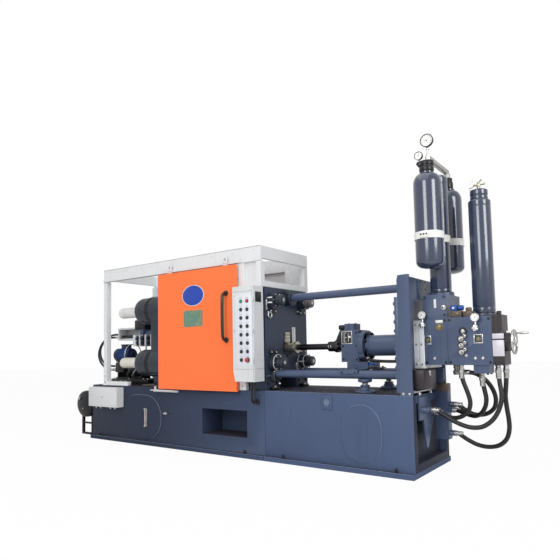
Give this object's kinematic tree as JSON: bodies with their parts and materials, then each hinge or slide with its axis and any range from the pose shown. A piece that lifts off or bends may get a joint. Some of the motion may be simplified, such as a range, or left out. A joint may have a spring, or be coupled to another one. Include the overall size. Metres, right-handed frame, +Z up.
{
  "type": "die casting machine",
  "caption": "Cold chamber die casting machine with a sliding guard door, toggle clamp, shot cylinder on rods, accumulators and a two section bed",
  "frame": {"origin": "middle of the bed's underside, on the floor", "axes": "+X along the machine towards the injection end, -Y towards the operator, +Z up"},
  "size_m": [5.22, 0.986, 2.693],
  "materials": {
    "bed_left": "satin enamel",
    "bed_right": "satin enamel",
    "slide_ways": "machined",
    "bed_covers": "satin enamel",
    "fixed_platen": "painted casting",
    "moving_platen": "painted casting",
    "rear_platen": "painted casting",
    "tie_bars": "polished",
    "tie_bar_nuts": "painted casting",
    "geared_nuts": "painted casting",
    "toggle_links": "satin enamel",
    "toggle_pins": "machined",
    "crosshead": "satin enamel",
    "clamp_cylinder": "satin enamel",
    "ejector": "satin enamel",
    "shot_sleeve": "machined",
    "plunger": "machined",
    "shot_head": "satin enamel",
    "shot_flange": "satin enamel",
    "shot_cylinder": "satin enamel",
    "shot_pedestal": "satin enamel",
    "support_jack": "satin enamel",
    "injection_rods": "satin enamel",
    "rod_mounts": "satin enamel",
    "end_frame": "satin enamel",
    "end_flange": "satin enamel",
    "steel_flanges": "machined",
    "valve_block": "satin enamel",
    "upper_block": "satin enamel",
    "block_valves": "machined",
    "end_valve": "machined",
    "handwheel": "polished",
    "wheel_spindle": "machined",
    "block_gauges": "machined",
    "accumulator_column": "satin enamel",
    "accumulator_right": "satin enamel",
    "gas_bottles": "satin enamel",
    "bottle_bands": "satin enamel",
    "bottle_pipework": "machined",
    "guard_frame": "satin enamel",
    "door_rails": "satin enamel",
    "front_door": "satin enamel",
    "door_handle": "satin",
    "rear_door": "satin enamel",
    "control_box": "satin enamel",
    "control_buttons": "gloss",
    "conduit": "smooth",
    "junction_box": "satin enamel",
    "pump_motors": "satin enamel",
    "clamp_valves": "satin enamel",
    "aux_tank": "satin enamel",
    "bed_end_fittings": "satin enamel",
    "level_gauge": "machined",
    "hose_1": "smooth",
    "hose_2": "smooth",
    "hose_3": "smooth",
    "hose_4": "smooth",
    "hose_5": "smooth",
    "hose_6": "smooth",
    "hose_7": "smooth"
  },
  "bodies": {
    "machine": {"bed_left": "bed_left", "bed_right": "bed_right", "slide_ways": "slide_ways", "bed_covers": "bed_covers", "fixed_platen": "fixed_platen", "moving_platen": "moving_platen", "rear_platen": "rear_platen", "tie_bars": "tie_bars", "tie_bar_nuts": "tie_bar_nuts", "geared_nuts": "geared_nuts", "toggle_links": "toggle_links", "toggle_pins": "toggle_pins", "crosshead": "crosshead", "clamp_cylinder": "clamp_cylinder", "ejector": "ejector", "shot_sleeve": "shot_sleeve", "shot_head": "shot_head", "shot_flange": "shot_flange", "shot_cylinder": "shot_cylinder", "shot_pedestal": "shot_pedestal", "support_jack": "support_jack", "injection_rods": "injection_rods", "rod_mounts": "rod_mounts", "end_frame": "end_frame", "end_flange": "end_flange", "steel_flanges": "steel_flanges", "valve_block": "valve_block", "upper_block": "upper_block", "block_valves": "block_valves", "end_valve": "end_valve", "wheel_spindle": "wheel_spindle", "block_gauges": "block_gauges", "accumulator_column": "accumulator_column", "accumulator_right": "accumulator_right", "gas_bottles": "gas_bottles", "bottle_bands": "bottle_bands", "bottle_pipework": "bottle_pipework", "guard_frame": "guard_frame", "door_rails": "door_rails", "rear_door": "rear_door", "control_box": "control_box", "control_buttons": "control_buttons", "conduit": "conduit", "junction_box": "junction_box", "pump_motors": "pump_motors", "clamp_valves": "clamp_valves", "aux_tank": "aux_tank", "bed_end_fittings": "bed_end_fittings", "level_gauge": "level_gauge", "hose_1": "hose_1", "hose_2": "hose_2", "hose_3": "hose_3", "hose_4": "hose_4", "hose_5": "hose_5", "hose_6": "hose_6", "hose_7": "hose_7"},
    "door": {"front_door": "front_door", "door_handle": "door_handle"},
    "plunger_unit": {"plunger": "plunger"},
    "wheel": {"handwheel": "handwheel"}
  },
  "joints": [
    {"name": "door_slide", "type": "slide", "parent": "machine", "child": "door", "axis": [-1, 0, 0], "range_m": [0, 0.78]},
    {"name": "plunger_slide", "type": "slide", "parent": "machine", "child": "plunger_unit", "axis": [-1, 0, 0], "range_m": [0, 0.33]},
    {"name": "wheel_turn", "type": "hinge", "parent": "machine", "child": "wheel", "pos_m": [2.67, -0.1, 1.021], "axis": [1, 0, 0], "continuous": true}
  ]
}
